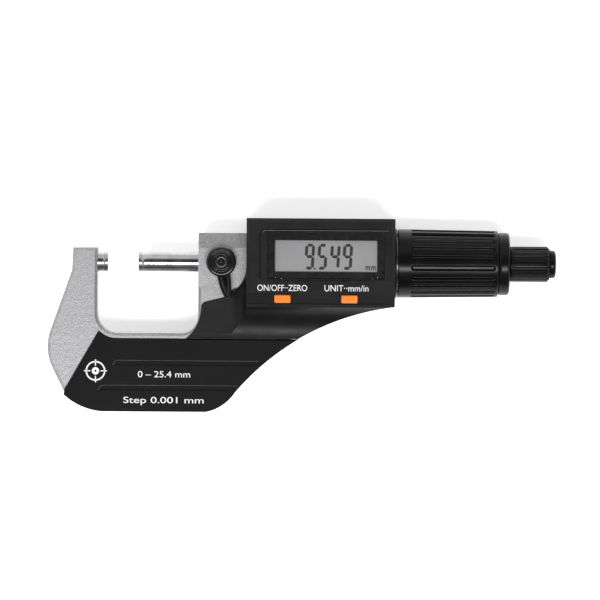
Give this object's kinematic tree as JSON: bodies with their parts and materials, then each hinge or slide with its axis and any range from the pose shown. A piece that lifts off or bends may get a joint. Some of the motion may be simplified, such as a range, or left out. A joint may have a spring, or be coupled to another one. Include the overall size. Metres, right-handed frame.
{
  "type": "digital outside micrometer",
  "caption": "Electronic outside micrometer: silver C-frame, display case with buttons, spindle, ribbed thimble, ratchet and spindle lock, resting on its back.",
  "frame": {"origin": "centre of the anvil's measuring face", "axes": "+X along the measuring axis towards the ratchet, +Y away from the bow, +Z out of the display"},
  "size_m": [0.1595, 0.0608, 0.0265],
  "materials": {
    "frame_paint": "silver hammered paint",
    "case_plastic": "fine grain",
    "plate_plastic": "fine grain",
    "grip_plastic": "satin",
    "lock_plastic": "polished",
    "button_orange": "satin",
    "ground_steel": "satin chrome",
    "carbide": "lapped",
    "plain_steel": "machined",
    "nut_brass": "machined",
    "spring_steel": "bright wire",
    "seal_rubber": "matte",
    "window_clear": "clear acrylic",
    "lcd_grey": "reflective glass",
    "board_green": "solder mask",
    "chip_black": "moulded",
    "ribbon_amber": "polyimide",
    "cell_steel": "nickel"
  },
  "bodies": {
    "root": {"frame": "frame_paint", "anvil": "ground_steel", "anvil_tip": "carbide", "spindle_bush": "plain_steel", "spindle_seal": "seal_rubber", "inner_sleeve": "plain_steel", "spindle_nut": "nut_brass", "adjusting_nut": "nut_brass", "front_collar": "grip_plastic", "thrust_washer": "plain_steel", "retaining_ring": "spring_steel", "stator_disc": "board_green", "rotor_retainer": "plain_steel", "stator_ribbon": "ribbon_amber", "front_grip_plate": "plate_plastic", "rear_grip_plate": "plate_plastic", "display_housing": "case_plastic", "rear_cover": "case_plastic", "switch_board": "board_green", "button_domes": "spring_steel", "display_window": "window_clear", "lcd_panel": "lcd_grey", "lcd_holder": "chip_black", "contact_strips": "seal_rubber", "circuit_board": "board_green", "controller_chip": "chip_black", "board_parts": "chip_black", "battery": "cell_steel", "battery_seal": "seal_rubber", "battery_contact_minus": "nut_brass", "battery_contact_plus": "nut_brass", "cover_screws": "plain_steel", "plate_screws": "plain_steel"},
    "thimble": {"thimble_core": "plain_steel", "thimble_grip": "grip_plastic", "thimble_end_ring": "grip_plastic", "drive_bar": "plain_steel", "ratchet_stem": "plain_steel", "ratchet_spring": "spring_steel", "ratchet_end_screw": "grip_plastic"},
    "spindle": {"spindle": "ground_steel", "spindle_tip": "carbide"},
    "rotor": {"rotor_bush": "nut_brass", "rotor_disc": "board_green", "rotor_key": "plain_steel"},
    "ratchet": {"ratchet_knob": "grip_plastic"},
    "crown": {"click_crown": "plain_steel"},
    "lock_pad": {"lock_pad": "nut_brass"},
    "lock_lever": {"lock_lever": "lock_plastic", "lock_screw": "plain_steel"},
    "button_power": {"button_power": "button_orange"},
    "button_units": {"button_units": "button_orange"},
    "battery_cap": {"battery_cap": "case_plastic"}
  },
  "joints": [
    {"name": "thimble_turn", "type": "hinge", "parent": "root", "child": "thimble", "pos_m": [0.1, 0, 0], "axis": [1, 0, 0], "range_deg": [-6875.28, 11412.72]},
    {"name": "spindle_travel", "type": "slide", "parent": "thimble", "child": "spindle", "axis": [1, 0, 0], "range_m": [-0.00955, 0.01585]},
    {"name": "rotor_turn", "type": "hinge", "parent": "root", "child": "rotor", "pos_m": [0.05, 0, 0], "axis": [1, 0, 0], "range_deg": [-6875.28, 11412.72]},
    {"name": "ratchet_turn", "type": "hinge", "parent": "thimble", "child": "ratchet", "pos_m": [0.134, 0, 0], "axis": [1, 0, 0], "continuous": true},
    {"name": "crown_click", "type": "slide", "parent": "thimble", "child": "crown", "axis": [-1, 0, 0], "range_m": [0, 0.00055], "stiffness_N_per_m": 250, "springref_m": -0.001},
    {"name": "lock_press", "type": "slide", "parent": "root", "child": "lock_pad", "axis": [0, 0, -1], "range_m": [0, 0.0001]},
    {"name": "lock_turn", "type": "hinge", "parent": "lock_pad", "child": "lock_lever", "pos_m": [0.0357, 0, 0.01], "axis": [0, 0, 1], "range_deg": [-70, 0]},
    {"name": "power_press", "type": "slide", "parent": "root", "child": "button_power", "axis": [0, 0.7071, -0.7071], "range_m": [0, 0.0004], "stiffness_N_per_m": 1500},
    {"name": "units_press", "type": "slide", "parent": "root", "child": "button_units", "axis": [0, 0.7071, -0.7071], "range_m": [0, 0.0004], "stiffness_N_per_m": 1500},
    {"name": "cap_turn", "type": "hinge", "parent": "root", "child": "battery_cap", "pos_m": [0.0687, 0, -0.011], "axis": [0, 0, 1], "range_deg": [0, 45]}
  ],
  "couplings": [
    {"joint": "spindle_travel", "follows": "thimble_turn", "m_per_rad": 0.000079577},
    {"joint": "rotor_turn", "follows": "thimble_turn", "ratio": 1},
    {"joint": "lock_turn", "follows": "lock_press", "rad_per_m": -12217}
  ]
}
